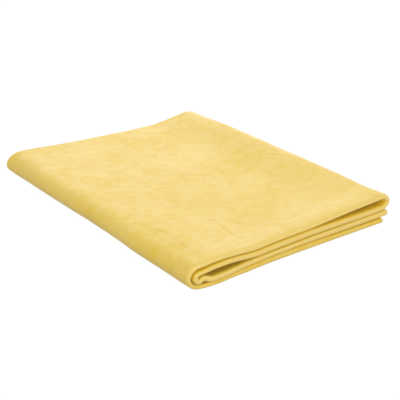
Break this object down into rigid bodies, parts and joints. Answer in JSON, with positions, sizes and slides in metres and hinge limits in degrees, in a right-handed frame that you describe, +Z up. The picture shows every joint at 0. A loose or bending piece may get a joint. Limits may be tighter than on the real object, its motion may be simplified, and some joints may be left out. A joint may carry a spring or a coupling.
{
  "type": "synthetic chamois cloth",
  "caption": "Soft absorbent synthetic chamois sheet, folded over on itself into a flat rectangular stack, for drying and wiping wet surfaces.",
  "frame": {"origin": "under the middle of the folded stack, on the surface that it lies on", "axes": "+X from the left double turn to the right turn and the raw ends, +Y from the front crease to the cut back edges, +Z up through the plies"},
  "size_m": [0.153, 0.205, 0.0184],
  "materials": {
    "chamois": "soft matte nap",
    "chamois_fold": "soft matte nap"
  },
  "bodies": {
    "lower_half": {"outer_lower_face_panel": "chamois", "outer_lower_lining_panel": "chamois", "outer_lower_front_crease": "chamois_fold", "inner_lower_face_panel": "chamois", "inner_lower_lining_panel": "chamois", "inner_lower_front_crease": "chamois_fold", "outer_left_turn": "chamois_fold", "inner_left_turn": "chamois_fold"},
    "upper_half": {"inner_upper_face_panel": "chamois", "inner_upper_lining_panel": "chamois", "inner_upper_front_crease": "chamois_fold", "outer_upper_face_panel": "chamois", "outer_upper_lining_panel": "chamois", "outer_upper_front_crease": "chamois_fold", "right_turn": "chamois_fold"}
  },
  "joints": [
    {"name": "book_fold", "type": "hinge", "parent": "lower_half", "child": "upper_half", "pos_m": [-0.073, 0, 0.00805], "axis": [0, -1, 0], "range_deg": [0, 179], "deforming": ["outer_left_turn", "inner_left_turn"]}
  ]
}
